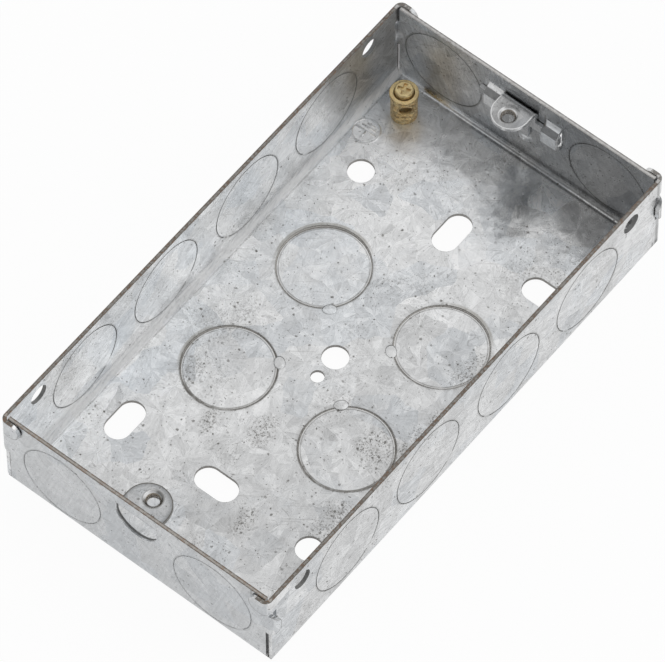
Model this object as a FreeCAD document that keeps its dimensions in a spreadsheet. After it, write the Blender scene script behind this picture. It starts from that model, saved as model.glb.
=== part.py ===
"""Flush back box, two-gang: a pressed steel wall box folded from one sheet, with its sliding lug,
its earth terminal post and the terminal's clamping screw.

Frame: millimetres, +Z up out of the open front, base on z = 0, +X along the box from the fixed lug
to the sliding lug, +Y across it. The origin is the middle of the base's underside.
"""
import FreeCAD, Part

import math
import os

import Sketcher

doc = FreeCAD.newDocument("FlushBackBox")

# Driving sizes

SIZES = (
    # faceplate fixing, which sets the box's length
    ("fixing_centres", 120.6),
    ("lug_hole_inset", 5.7),
    # the folded sheet
    ("box_width", 72.0),
    ("box_height", 25.5),
    ("sheet", 0.9),
    ("bend_inside", 1.2),
    # tapped holes of the two lugs
    ("lug_below_rim", 3.5),
    ("thread_radius", 1.5),
    ("thread_entry", 0.6),
    ("thread_collar", 2.35),
    ("thread_collar_drop", 1.2),
    # fixed lug, cut from the near end wall and bent in
    ("fixed_lug_width", 10.8),
    ("fixed_lug_beyond", 3.5),
    ("fixed_lug_clearance", 0.15),
    ("lug_bend_inside", 0.8),
    ("fixed_lug_length", 7.4),
    # corner locks
    ("lock_gap", 0.2),
    ("lock_bend_inside", 0.8),
    ("slit_above_base", 0.1),
    ("slit_width", 0.5),
    ("wall_end_setback", 0.4),
    ("fold_tab_below_rim", 6.3),
    ("fold_tab_height", 7.4),
    ("fold_tab_reach", 2.2),
    ("fold_tab_taper", 3.0),
    ("wrap_tab_height", 4.9),
    ("wrap_tab_reach", 5.0),
    ("wrap_tab_round", 2.5),
    ("wrap_tab_shoulder", 2.2),
    # knockouts
    ("knockout_radius", 10.5),
    ("knockout_cut", 0.22),
    ("base_knockout_x", 16.15),
    ("base_knockout_y", 16.1),
    ("side_knockout_inner_x", 13.65),
    ("side_knockout_outer_x", 40.6),
    ("side_knockout_rise", 0.65),
    ("near_knockout_y", 20.3),
    ("near_knockout_rise", -0.05),
    ("far_knockout_y", 22.4),
    ("far_knockout_rise", 0.55),
    ("knockout_web", 0.15),
    ("knockout_sink", 0.1),
    ("knockout_tilt", 1.45),
    ("tie_width", 2.6),
    # fixing holes
    ("fixing_hole_radius", 3.05),
    ("fixing_slot_length", 10.6),
    ("fixing_x", 40.0),
    ("fixing_y", 25.1),
    ("pilot_radius", 1.55),
    ("pilot_x", 6.1),
    ("side_hole_radius", 2.45),
    ("side_hole_inset", 10.5),
    ("side_hole_below_rim", 4.3),
    # keepers pressed out of the far end wall
    ("keeper_inner_y", 5.7),
    ("keeper_width", 4.1),
    ("keeper_below_rim", 4.5),
    ("keeper_height", 8.0),
    ("stop_dimple_radius", 2.1),
    ("stop_dimple_height", 0.8),
    ("stop_dimple_below_foot", 2.4),
    # sliding lug
    ("plate_thickness", 0.9),
    ("plate_clearance", 0.15),
    ("ear_half_length", 10.8),
    ("ear_clearance", 0.28),
    ("plate_foot_half_width", 2.6),
    ("plate_foot_below_keepers", 1.7),
    ("sliding_lug_width", 8.8),
    ("sliding_lug_beyond", 3.45),
    ("sliding_bend_inside", 0.6),
    ("slid_by", 1.0),
    # earth terminal post
    ("terminal_end_inset", 8.6),
    ("terminal_side_inset", 8.9),
    ("post_radius", 3.0),
    ("post_top", 9.3),
    ("collar_radius", 3.23),
    ("collar_height", 0.8),
    ("rivet_radius", 1.6),
    ("bore_radius", 2.35),
    ("bore_bottom", 2.8),
    ("wire_hole_radius", 1.4),
    ("wire_hole_z", 6.1),
    ("wire_hole_turn", 45.0),
    # terminal screw
    ("screw_radius", 2.1),
    ("screw_top", 10.5),
    ("screw_length", 4.2),
    ("recess_span", 2.9),
    ("recess_width", 0.75),
    ("recess_depth", 0.5),
    ("screw_turn", 20.0),
)

sheet_object = doc.addObject("Spreadsheet::Sheet", "Sizes")
for row, (alias, number) in enumerate(SIZES, start=1):
    sheet_object.set("A%d" % row, alias.replace("_", " "))
    sheet_object.set("B%d" % row, str(number))
    sheet_object.setAlias("B%d" % row, alias)
doc.recompute()


class Size:
    """A number together with the sheet expression that gives it."""

    def __init__(self, value, text):
        self.value = float(value)
        self.text = text

    def __add__(self, other):
        other = as_size(other)
        return Size(self.value + other.value, "(%s + %s)" % (self.text, other.text))

    def __sub__(self, other):
        other = as_size(other)
        return Size(self.value - other.value, "(%s - %s)" % (self.text, other.text))

    def __rsub__(self, other):
        return as_size(other) - self

    def __neg__(self):
        return Size(-self.value, "(0 - %s)" % self.text)

    def __mul__(self, factor):
        return Size(self.value * factor, "(%s * %.9f)" % (self.text, factor))

    def __truediv__(self, divisor):
        return self * (1.0 / divisor)

    __radd__ = __add__
    __rmul__ = __mul__


def as_size(number):
    if isinstance(number, Size):
        return number
    return Size(number, "(%.9f)" % number)


def size(alias):
    return Size(sheet_object.get(alias), "Sizes." + alias)


def bind(thing, prop, amount):
    thing.setExpression(prop, as_size(amount).text)


# Sketching helpers: every point of a sketch is tied to the sheet

def origin_plane(body, role):
    for feature in body.Origin.OriginFeatures:
        if feature.Role == role:
            return feature
    raise ValueError(role)


def new_sketch(body, name, role, offset=0.0, raised=0.0):
    sketch = body.newObject("Sketcher::SketchObject", name)
    sketch.AttachmentSupport = (origin_plane(body, role), [""])
    sketch.MapMode = "FlatFace"
    sketch.AttachmentOffset = FreeCAD.Placement(
        FreeCAD.Vector(0, as_size(raised).value, as_size(offset).value), FreeCAD.Rotation())
    bind(sketch, "AttachmentOffset.Base.y", raised)
    bind(sketch, "AttachmentOffset.Base.z", offset)
    return sketch


def fix(sketch, kind, geometry, point, amount):
    amount = as_size(amount)
    index = sketch.addConstraint(Sketcher.Constraint(kind, -1, 1, geometry, point, amount.value))
    sketch.setExpression("Constraints[%d]" % index, amount.text)


def add_circle(sketch, x, y, radius):
    x, y, radius = as_size(x), as_size(y), as_size(radius)
    circle = Part.Circle(FreeCAD.Vector(x.value, y.value, 0), FreeCAD.Vector(0, 0, 1), radius.value)
    index = sketch.addGeometry(circle, False)
    fix(sketch, "DistanceX", index, 3, x)
    fix(sketch, "DistanceY", index, 3, y)
    row = sketch.addConstraint(Sketcher.Constraint("Radius", index, radius.value))
    sketch.setExpression("Constraints[%d]" % row, radius.text)


def add_loop(sketch, corners):
    """Add a closed outline. A corner is (x, y), or (x, y, centre_x, centre_y, turn) where an arc
    about that centre leads to the next corner, turn +1 being anticlockwise."""
    count = len(corners)
    points = [(as_size(c[0]), as_size(c[1])) for c in corners]
    edges = []
    for k, corner in enumerate(corners):
        x0, y0 = points[k]
        x1, y1 = points[(k + 1) % count]
        start = FreeCAD.Vector(x0.value, y0.value, 0)
        end = FreeCAD.Vector(x1.value, y1.value, 0)
        if len(corner) == 2:
            index = sketch.addGeometry(Part.LineSegment(start, end), False)
            edges.append((index, 1, 2))
            continue
        cx, cy, turn = as_size(corner[2]), as_size(corner[3]), corner[4]
        centre = FreeCAD.Vector(cx.value, cy.value, 0)
        circle = Part.Circle(centre, FreeCAD.Vector(0, 0, 1), start.distanceToPoint(centre))
        first = math.atan2(start.y - centre.y, start.x - centre.x)
        last = math.atan2(end.y - centre.y, end.x - centre.x)
        if turn < 0:
            first, last = last, first
        if last < first:
            last += 2 * math.pi
        index = sketch.addGeometry(Part.ArcOfCircle(circle, first, last), False)
        if abs(end.y - start.y) >= abs(end.x - start.x):
            fix(sketch, "DistanceX", index, 3, cx)
        else:
            fix(sketch, "DistanceY", index, 3, cy)
        edges.append((index, 1, 2) if turn > 0 else (index, 2, 1))
    for k, (index, start_point, end_point) in enumerate(edges):
        following = edges[(k + 1) % count]
        sketch.addConstraint(
            Sketcher.Constraint("Coincident", index, end_point, following[0], following[1]))
        fix(sketch, "DistanceX", index, start_point, points[k][0])
        fix(sketch, "DistanceY", index, start_point, points[k][1])


def add_rectangle(sketch, x0, x1, y0, y1):
    add_loop(sketch, ((x0, y0), (x1, y0), (x1, y1), (x0, y1)))


def add_slot(sketch, x, y, length, width, along_x):
    """Add a round-ended slot centred on (x, y)."""
    reach = (length - width) / 2
    r = width / 2
    if along_x:
        a, b = x - reach, x + reach
        add_loop(sketch, ((a, y - r), (b, y - r, b, y, 1), (b, y + r), (a, y + r, a, y, 1)))
    else:
        a, b = y - reach, y + reach
        add_loop(sketch, ((x + r, a), (x + r, b, x, b, 1), (x - r, b), (x - r, a, x, a, 1)))


def add_ring(sketch, x, y, tie_angle):
    """Add the cut round a knockout, left open over the tie that holds the disc."""
    outer = size("knockout_radius")
    inner = outer - size("knockout_cut")
    half = math.asin(size("tie_width").value / 2 / outer.value)
    first = math.radians(tie_angle) + half
    last = math.radians(tie_angle) - half
    add_loop(sketch, (
        (x + outer * math.cos(first), y + outer * math.sin(first), x, y, 1),
        (x + outer * math.cos(last), y + outer * math.sin(last)),
        (x + inner * math.cos(last), y + inner * math.sin(last), x, y, -1),
        (x + inner * math.cos(first), y + inner * math.sin(first)),
    ))


# Feature helpers

def add_feature(body, kind, name, sketch, length, upward=False, midplane=False, through=False):
    """Pad or pocket a sketch; the body must gain from a pad and lose to a pocket."""
    before = body.Tip.Shape.Volume if body.Tip else 0.0
    feature = body.newObject("PartDesign::" + kind, name)
    feature.Profile = sketch
    feature.Reversed = upward
    feature.Midplane = midplane
    if through:
        feature.Type = "ThroughAll"
    else:
        feature.Length = as_size(length).value
        bind(feature, "Length", length)
    doc.recompute()
    gain = (feature.Shape.Volume - before) * (1 if kind == "Pad" else -1)
    if gain < 0.001:
        raise RuntimeError("%s changed the volume by %.4f" % (name, gain))
    return feature


def pad(body, name, sketch, length, flipped=False, midplane=False):
    return add_feature(body, "Pad", name, sketch, length, flipped, midplane)


def pocket(body, name, sketch, length, flipped=False, midplane=False, through=False):
    return add_feature(body, "Pocket", name, sketch, length, flipped, midplane, through)


def turned(body, name, sketch, axis, cut=False):
    """Revolve a sketch about one of its own axes."""
    before = body.Tip.Shape.Volume if body.Tip else 0.0
    feature = body.newObject("PartDesign::Groove" if cut else "PartDesign::Revolution", name)
    feature.Profile = sketch
    feature.ReferenceAxis = (sketch, [axis])
    feature.Angle = 360.0
    doc.recompute()
    if (feature.Shape.Volume < before) != cut:
        raise RuntimeError(name + " changed the volume the wrong way")
    return feature


def place_upright(body, turn):
    """Stand a body on the terminal's axis, turned about it."""
    body.Placement = FreeCAD.Placement(
        FreeCAD.Vector(0, 0, 0), FreeCAD.Rotation(FreeCAD.Vector(0, 0, 1), turn.value))
    bind(body, "Placement.Base.x", terminal_x)
    bind(body, "Placement.Base.y", terminal_y)
    bind(body, "Placement.Rotation.Angle", turn)


def dress(body, kind, name, amount, wanted):
    """Fillet or chamfer the edges of the tip whose middle and direction suit wanted()."""
    base = body.Tip
    names = []
    for number, edge in enumerate(base.Shape.Edges, start=1):
        box = edge.BoundBox
        if wanted(box.Center, box):
            names.append("Edge%d" % number)
    if not names:
        raise RuntimeError(name + " found no edge")
    feature = body.newObject("PartDesign::" + kind, name)
    feature.Base = (base, names)
    prop = "Radius" if kind == "Fillet" else "Size"
    setattr(feature, prop, as_size(amount).value)
    bind(feature, prop, amount)
    doc.recompute()
    if "Invalid" in feature.State:
        raise RuntimeError(name + " failed")
    return feature


def near(a, b, tolerance=0.01):
    return abs(a - b) < tolerance


CORNERS = ((1, 1), (1, -1), (-1, 1), (-1, -1))
width, height, t = size("box_width"), size("box_height"), size("sheet")
fixing_x = size("fixing_centres") / 2
half_x, half_y = fixing_x + size("lug_hole_inset"), width / 2
lug_top = height - size("lug_below_rim")
slit_bottom = t + size("slit_above_base")
fold_high = height - size("fold_tab_below_rim")
fold_low = fold_high - size("fold_tab_height")
wrap_low = height - size("wrap_tab_height")
terminal_x = half_x - size("terminal_end_inset")
terminal_y = half_y - size("terminal_side_inset")

# The box: one sheet, cut, folded up into four walls and locked at the corners

box = doc.addObject("PartDesign::Body", "BoxBody")
box.Label = "box_body"

sketch = new_sketch(box, "Outline", "XY_Plane")
add_rectangle(sketch, -half_x, half_x, -half_y, half_y)
pad(box, "Blank", sketch, height)

sketch = new_sketch(box, "InsideOutline", "XY_Plane", height)
add_rectangle(sketch, t - half_x, half_x - t, t - half_y, half_y - t)
pocket(box, "Cavity", sketch, height - t)

dress(box, "Fillet", "OuterBends", size("bend_inside") + t,
      lambda middle, b: near(middle.z, 0) and near(b.ZLength, 0))
dress(box, "Fillet", "InnerBends", size("bend_inside"),
      lambda middle, b: near(middle.z, t.value) and near(b.ZLength, 0)
      and b.XLength + b.YLength > width.value / 2)


def corner_loops(sketch, end_wall_y, side_wall_x):
    """Clear each corner down to where the end wall and the side wall may reach."""
    inner_x, inner_y = half_x - t, half_y - t
    for sx, sy in CORNERS:
        loop = [(inner_x - 0.05, end_wall_y), (half_x + 1, end_wall_y), (half_x + 1, half_y + 1),
                (side_wall_x, half_y + 1), (side_wall_x, inner_y - 0.05), (inner_x - 0.05, inner_y - 0.05)]
        add_loop(sketch, [(x * sx, y * sy) for x, y in loop])


lock_bend = size("lock_bend_inside")
gap = size("lock_gap")
bend_start_x = half_x + gap - lock_bend
bend_start_y = half_y + gap - lock_bend
clear_side_y = half_y - t - size("slit_width")

sketch = new_sketch(box, "CornerSlits", "XY_Plane", slit_bottom)
corner_loops(sketch, clear_side_y, half_x - size("wall_end_setback"))
pocket(box, "CornerSlitCut", sketch, fold_low - slit_bottom, flipped=True)

sketch = new_sketch(box, "FoldTabClearance", "XY_Plane", fold_low)
for sx, sy in CORNERS:
    add_loop(sketch, [(x * sx, y * sy) for x, y in (
        (half_x - t - lock_bend - 0.2, half_y - t - 0.05), (half_x - t, half_y - t - 0.05),
        (half_x - t, bend_start_y), (half_x + 1, bend_start_y), (half_x + 1, half_y + 1),
        (half_x - t - lock_bend - 0.2, half_y + 1))])
pocket(box, "FoldTabCut", sketch, wrap_low - fold_low, flipped=True)

sketch = new_sketch(box, "WrapTabClearance", "XY_Plane", wrap_low)
for sx, sy in CORNERS:
    add_loop(sketch, [(x * sx, y * sy) for x, y in (
        (half_x - t - 0.05, clear_side_y), (half_x + 1, clear_side_y), (half_x + 1, half_y + 1),
        (bend_start_x, half_y + 1), (bend_start_x, half_y - t), (half_x - t - 0.05, half_y - t))])
pocket(box, "WrapTabCut", sketch, size("wrap_tab_height"), flipped=True)

# Side walls' rounded tabs wrap onto the end walls, level with the rim
sketch = new_sketch(box, "WrapTabs", "XY_Plane", wrap_low)
for sx, sy in CORNERS:
    turn = -sx * sy
    outside, inside = half_x + gap + t, half_x + gap
    centre_y = half_y - t - lock_bend
    tip_y = half_y - size("wrap_tab_reach")
    add_loop(sketch, (
        (bend_start_x * sx, half_y * sy, bend_start_x * sx, centre_y * sy, turn),
        (outside * sx, centre_y * sy),
        (outside * sx, tip_y * sy),
        (inside * sx, tip_y * sy),
        (inside * sx, centre_y * sy, bend_start_x * sx, centre_y * sy, -turn),
        (bend_start_x * sx, (half_y - t) * sy)))
pad(box, "WrapTabPads", sketch, size("wrap_tab_height"))

# End walls' pointed tabs fold onto the side walls, below the others
sketch = new_sketch(box, "FoldTabs", "XY_Plane", fold_low)
for sx, sy in CORNERS:
    turn = sx * sy
    outside, inside = half_y + gap + t, half_y + gap
    centre_x = half_x - t - lock_bend
    tip_x = half_x - size("fold_tab_reach")
    add_loop(sketch, (
        (half_x * sx, bend_start_y * sy, centre_x * sx, bend_start_y * sy, turn),
        (centre_x * sx, outside * sy),
        (tip_x * sx, outside * sy),
        (tip_x * sx, inside * sy),
        (centre_x * sx, inside * sy, centre_x * sx, bend_start_y * sy, -turn),
        ((half_x - t) * sx, bend_start_y * sy)))
pad(box, "FoldTabPads", sketch, size("fold_tab_height"))

wrap_tip = half_y.value - size("wrap_tab_reach").value
dress(box, "Fillet", "WrapTabRounds", size("wrap_tab_round"),
      lambda middle, b: near(abs(middle.y), wrap_tip) and near(b.YLength, 0) and near(b.ZLength, 0)
      and near(middle.z, wrap_low.value) and abs(middle.x) > half_x.value)
dress(box, "Fillet", "WrapTabShoulders", size("wrap_tab_shoulder"),
      lambda middle, b: near(abs(middle.y), wrap_tip) and near(b.YLength, 0) and near(b.ZLength, 0)
      and near(middle.z, height.value) and abs(middle.x) > half_x.value)

# The fold tabs taper from the corner to a blunt point
tip_x = half_x - size("fold_tab_reach")
for name, sy in (("Left", 1), ("Right", -1)):
    sketch = new_sketch(box, name + "FoldTabTaper", "XZ_Plane", (half_y + gap + t * 1.5) * -sy)
    for sx in (1, -1):
        for start, step in ((fold_low, 1), (fold_high, -1)):
            add_loop(sketch, (
                (half_x * sx, start - step), ((tip_x - 1) * sx, start - step),
                ((tip_x - 1) * sx, start + size("fold_tab_taper") * step), (half_x * sx, start)))
    pocket(box, name + "FoldTabTaperCut", sketch, t * 1.5 + gap * 0.75, flipped=sy > 0)

# Base: round holes, slots, centre hole with its pilot, rivet hole of the terminal
hole = size("fixing_hole_radius")
fix_x, fix_y = size("fixing_x"), size("fixing_y")
slot = size("fixing_slot_length")
sketch = new_sketch(box, "BaseHoles", "XY_Plane")
add_circle(sketch, fix_x, fix_y, hole)
add_circle(sketch, -fix_x, -fix_y, hole)
add_circle(sketch, 0.0, 0.0, hole)
add_circle(sketch, -size("pilot_x"), 0.0, size("pilot_radius"))
add_circle(sketch, terminal_x, terminal_y, size("rivet_radius"))
add_slot(sketch, fix_x, as_size(0.0), slot, hole * 2, along_x=True)
add_slot(sketch, -fix_x, fix_y, slot, hole * 2, along_x=True)
add_slot(sketch, -fix_x, as_size(0.0), slot, hole * 2, along_x=False)
add_slot(sketch, fix_x, -fix_y, slot, hole * 2, along_x=False)
pocket(box, "BaseHoleCuts", sketch, t * 1.5, flipped=True)

# Side walls: a small fixing hole near each end
sketch = new_sketch(box, "SideHoles", "XZ_Plane")
for sx in (1, -1):
    add_circle(sketch, (half_x - size("side_hole_inset")) * sx, height - size("side_hole_below_rim"),
               size("side_hole_radius"))
pocket(box, "SideHoleCuts", sketch, 0, midplane=True, through=True)

# Knockouts, each hung on one tie; in the base a thin web is left under the groove as well
base_x, base_y = size("base_knockout_x"), size("base_knockout_y")
sketch = new_sketch(box, "BaseKnockouts", "XY_Plane", t)
for sx, sy in CORNERS:
    tie = math.degrees(math.atan2(-sy, -sx))
    add_ring(sketch, base_x * sx, base_y * sy, tie)
pocket(box, "BaseKnockoutCuts", sketch, t - size("knockout_web"))

sketch = new_sketch(box, "SideKnockouts", "XZ_Plane")
for place in ("side_knockout_inner_x", "side_knockout_outer_x"):
    for sx in (1, -1):
        tie = math.degrees(math.atan2(-1, -sx))
        add_ring(sketch, size(place) * sx, height / 2 + size("side_knockout_rise"), tie)
pocket(box, "SideKnockoutCuts", sketch, 0, midplane=True, through=True)

for name, sx in (("near", -1), ("far", 1)):
    sketch = new_sketch(box, name.title() + "Knockouts", "YZ_Plane", (half_x + gap / 2) * sx)
    for sy in (1, -1):
        tie = math.degrees(math.atan2(-1, sy))
        add_ring(sketch, size(name + "_knockout_y") * sy, height / 2 + size(name + "_knockout_rise"), tie)
    pocket(box, name.title() + "KnockoutCuts", sketch, t * 1.5, flipped=sx < 0)

# Each base disc is punched down from its tie, so that its far edge lies lowest
tilt = size("knockout_tilt")
middle_sink = size("knockout_sink") + size("knockout_radius") * math.tan(math.radians(tilt.value))
for (sx, sy), name in zip(CORNERS, ("FarLeft", "FarRight", "NearLeft", "NearRight")):
    sketch = new_sketch(box, name + "Disc", "XY_Plane")
    sketch.AttachmentOffset = FreeCAD.Placement(
        FreeCAD.Vector(0, 0, 0), FreeCAD.Rotation(FreeCAD.Vector(-sy, sx, 0), tilt.value))
    bind(sketch, "AttachmentOffset.Base.x", base_x * sx)
    bind(sketch, "AttachmentOffset.Base.y", base_y * sy)
    bind(sketch, "AttachmentOffset.Base.z", t - middle_sink)
    bind(sketch, "AttachmentOffset.Rotation.Angle", tilt)
    add_circle(sketch, 0.0, 0.0, size("knockout_radius") - size("knockout_cut") / 2)
    pocket(box, name + "DiscSink", sketch, t * 2, flipped=True)

# Fixed lug: a tongue freed by a D-shaped cut in the near end wall and bent level
lug_bend = size("lug_bend_inside")
lug_half = size("fixed_lug_width") / 2
cut_half = lug_half + size("fixed_lug_clearance")
cut_top = lug_top + lug_bend
cut_centre = lug_top - size("fixed_lug_length") + lug_half
sketch = new_sketch(box, "LugOpening", "YZ_Plane", -half_x - gap / 2)
add_loop(sketch, (
    (cut_half, cut_top), (-cut_half, cut_top), (-cut_half, cut_centre, 0.0, cut_centre, 1),
    (cut_half, cut_centre)))
pocket(box, "LugOpeningCut", sketch, t * 1.5, flipped=True)

lug_tip = size("fixed_lug_beyond") - fixing_x
sketch = new_sketch(box, "LugProfile", "XZ_Plane")
bend_x = t - half_x + lug_bend
add_loop(sketch, (
    (-half_x, cut_top, bend_x, cut_top, 1),
    (bend_x, lug_top - t),
    (lug_tip, lug_top - t),
    (lug_tip, lug_top),
    (bend_x, lug_top, bend_x, cut_top, -1),
    (t - half_x, cut_top)))
pad(box, "LugTongue", sketch, lug_half * 2, midplane=True)

sketch = new_sketch(box, "LugCollar", "XY_Plane", lug_top - t / 2)
add_circle(sketch, -fixing_x, 0.0, size("thread_collar"))
pad(box, "LugCollarPad", sketch, t / 2 + size("thread_collar_drop"), flipped=True)

sketch = new_sketch(box, "LugTip", "XY_Plane", lug_top + t)
tip_centre = lug_tip - lug_half
add_loop(sketch, (
    (tip_centre, -lug_half, tip_centre, 0.0, 1), (tip_centre, lug_half),
    (lug_tip + 1, lug_half + 1), (lug_tip + 1, -lug_half - 1)))
pocket(box, "LugTipRound", sketch, t * 3)

sketch = new_sketch(box, "LugThread", "XY_Plane", lug_top + t)
add_circle(sketch, -fixing_x, 0.0, size("thread_radius"))
pocket(box, "LugThreadHole", sketch, t * 3 + size("thread_collar_drop"))
dress(box, "Chamfer", "LugThreadEntry", size("thread_entry"),
      lambda middle, b: near(middle.x, -fixing_x.value) and near(middle.z, lug_top.value)
      and near(b.XLength, 2 * size("thread_radius").value))

# Keepers: two straps cut from the far end wall and pressed inwards, open at their sides
stand = t + size("plate_thickness") + size("plate_clearance") * 2
high = height - size("keeper_below_rim")
low = high - size("keeper_height")
lap = t * math.sqrt(2.0)
near_y, far_y = size("keeper_inner_y"), size("keeper_inner_y") + size("keeper_width")
sketch = new_sketch(box, "KeeperWindows", "YZ_Plane", half_x + gap / 2)
for sy in (1, -1):
    add_rectangle(sketch, near_y * sy, far_y * sy, low, high)
pocket(box, "KeeperWindowCuts", sketch, t * 1.5)

for name, place in (("LeftKeeper", -far_y), ("RightKeeper", near_y)):
    sketch = new_sketch(box, name, "XZ_Plane", place)
    front, back = half_x - t, half_x
    add_loop(sketch, (
        (front, low), (back, low), (back, low + lap - t), (back - stand, low + stand + lap - t),
        (back - stand, high - stand - lap + t), (back, high - lap + t), (back, high), (front, high),
        (front - stand, high - stand), (front - stand, low + stand)))
    pad(box, name + "Strap", sketch, size("keeper_width"))

# Stop dimple under the sliding lug's foot, raised inside and hollow outside
foot_z = low - size("plate_foot_below_keepers")
dimple_z = foot_z - size("stop_dimple_below_foot")
dimple, rise = size("stop_dimple_radius"), size("stop_dimple_height")
ball = (dimple.value ** 2 + rise.value ** 2) / (2 * rise.value)
face = half_x - t
sketch = new_sketch(box, "StopDimple", "XZ_Plane", 0.0, dimple_z)
add_loop(sketch, (
    (face - rise, 0.0), (face + t / 2, 0.0), (face + t / 2, dimple),
    (face, dimple, face - rise + ball, 0.0, 1)))
turned(box, "StopDimpleCap", sketch, "H_Axis")
sketch = new_sketch(box, "PunchMark", "YZ_Plane", half_x, dimple_z)
add_circle(sketch, 0.0, 0.0, dimple * 0.6)
pocket(box, "PunchMarkCut", sketch, rise / 2)

# Sliding lug: a plate held behind the keepers, its tongue bent level between them

lug = doc.addObject("PartDesign::Body", "SlidingLug")
lug.Label = "adjustable_lug"
plate = size("plate_thickness")
plate_front = half_x - stand + size("plate_clearance")
plate_back = plate_front + plate
tongue_half = size("sliding_lug_width") / 2
ear, foot = size("ear_half_length"), size("plate_foot_half_width")
slope = stand + lap - t - size("plate_clearance")
ear_low = low + slope + size("ear_clearance") * 2
ear_high = high - slope - size("ear_clearance")
bend_inner = size("sliding_bend_inside")
bend_outer = bend_inner + plate
bend_z = lug_top - bend_outer
bend_x = plate_back - bend_outer

sketch = new_sketch(lug, "PlateOutline", "YZ_Plane", plate_front)
add_loop(sketch, (
    (-foot, foot_z), (foot, foot_z), (foot, ear_low), (ear, ear_low), (ear, ear_high),
    (tongue_half, ear_high), (tongue_half, bend_z), (-tongue_half, bend_z),
    (-tongue_half, ear_high), (-ear, ear_high), (-ear, ear_low), (-foot, ear_low)))
pad(lug, "Plate", sketch, plate)

lug_tip = fixing_x - size("sliding_lug_beyond")
sketch = new_sketch(lug, "TongueProfile", "XZ_Plane")
add_loop(sketch, (
    (plate_back, bend_z, bend_x, bend_z, 1),
    (bend_x, lug_top),
    (lug_tip, lug_top),
    (lug_tip, lug_top - plate),
    (bend_x, lug_top - plate, bend_x, bend_z, -1),
    (plate_front, bend_z)))
pad(lug, "Tongue", sketch, tongue_half * 2, midplane=True)

sketch = new_sketch(lug, "ThreadCollar", "XY_Plane", lug_top - plate / 2)
add_circle(sketch, fixing_x, 0.0, size("thread_collar"))
pad(lug, "ThreadCollarPad", sketch, plate / 2 + size("thread_collar_drop"), flipped=True)

sketch = new_sketch(lug, "TongueTip", "XY_Plane", lug_top + plate)
tip_centre = lug_tip + tongue_half
add_loop(sketch, (
    (tip_centre, tongue_half, tip_centre, 0.0, 1), (tip_centre, -tongue_half),
    (lug_tip - 1, -tongue_half - 1), (lug_tip - 1, tongue_half + 1)))
pocket(lug, "TongueTipRound", sketch, plate * 3)

sketch = new_sketch(lug, "Thread", "XY_Plane", lug_top + plate)
add_circle(sketch, fixing_x, 0.0, size("thread_radius"))
pocket(lug, "ThreadHole", sketch, plate * 3 + size("thread_collar_drop"))
dress(lug, "Chamfer", "ThreadEntry", size("thread_entry"),
      lambda middle, b: near(middle.x, fixing_x.value) and near(middle.z, lug_top.value)
      and near(b.XLength, 2 * size("thread_radius").value))
bind(lug, "Placement.Base.y", size("slid_by"))

# Earth terminal: a turned post riveted into the base, cross-drilled for the wire

post = doc.addObject("PartDesign::Body", "EarthPost")
post.Label = "earth_terminal"
post_r, collar_r, bore = size("post_radius"), size("collar_radius"), size("bore_radius")
rivet, top, floor = size("rivet_radius"), size("post_top"), size("bore_bottom")
edge = (collar_r - post_r) / 2
collar_z = top - size("collar_height")
sketch = new_sketch(post, "PostProfile", "XZ_Plane")
add_loop(sketch, (
    (0.0, 0.0), (rivet, 0.0), (rivet, t), (post_r, t), (post_r, collar_z), (collar_r, collar_z + edge),
    (collar_r, top - edge), (collar_r - edge, top), (bore, top), (bore, floor), (0.0, floor)))
turned(post, "PostTurning", sketch, "V_Axis")
sketch = new_sketch(post, "WireHole", "XZ_Plane")
add_circle(sketch, 0.0, size("wire_hole_z"), size("wire_hole_radius"))
pocket(post, "WireHoleDrilling", sketch, 0, midplane=True, through=True)
place_upright(post, -size("wire_hole_turn"))

# Terminal screw: a headless screw that closes on the wire as it is turned down

screw = doc.addObject("PartDesign::Body", "TerminalScrew")
screw.Label = "terminal_screw"
screw_r, screw_top = size("screw_radius"), size("screw_top")
screw_tip = screw_top - size("screw_length")
sketch = new_sketch(screw, "ScrewProfile", "XZ_Plane")
add_loop(sketch, (
    (0.0, screw_tip), (screw_r * 0.75, screw_tip), (screw_r, screw_tip + screw_r * 0.25),
    (screw_r, screw_top - screw_r * 0.12), (screw_r * 0.88, screw_top), (0.0, screw_top)))
turned(screw, "ScrewTurning", sketch, "V_Axis")
sketch = new_sketch(screw, "Recess", "XY_Plane", screw_top)
arm, slim = size("recess_span") / 2, size("recess_width") / 2
add_loop(sketch, (
    (arm, -slim), (arm, slim), (slim, slim), (slim, arm), (-slim, arm), (-slim, slim),
    (-arm, slim), (-arm, -slim), (-slim, -slim), (-slim, -arm), (slim, -arm), (slim, -slim)))
pocket(screw, "CrossRecess", sketch, size("recess_depth"))
place_upright(screw, size("screw_turn"))

# Check, then write one file for each piece

doc.recompute()
for thing in doc.Objects:
    if "Invalid" in thing.State or "Error" in thing.State:
        raise RuntimeError("%s: %s" % (thing.Name, thing.State))
os.makedirs("parts", exist_ok=True)
for body in (box, lug, post, screw):
    shape = body.Shape
    if shape.isNull() or not shape.isValid() or len(shape.Solids) != 1:
        raise RuntimeError(body.Label + " is not one valid solid")
for body in (box, lug, post, screw):
    body.Shape.exportStep("parts/%s.step" % body.Label)
    print(body.Label, "%.1f mm3" % body.Shape.Volume, body.Shape.BoundBox)
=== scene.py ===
"""Flush back box: looks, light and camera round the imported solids. Metres, in the solids' frame.

The box's own sizes, and all lengths inside a material, are in millimetres. MM turns them into metres.
The near end is at -X and the far one at +X, the left wall at +Y and the right one at -Y.
"""
import math

import bmesh
import bpy
from mathutils import Matrix, Vector


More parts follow.
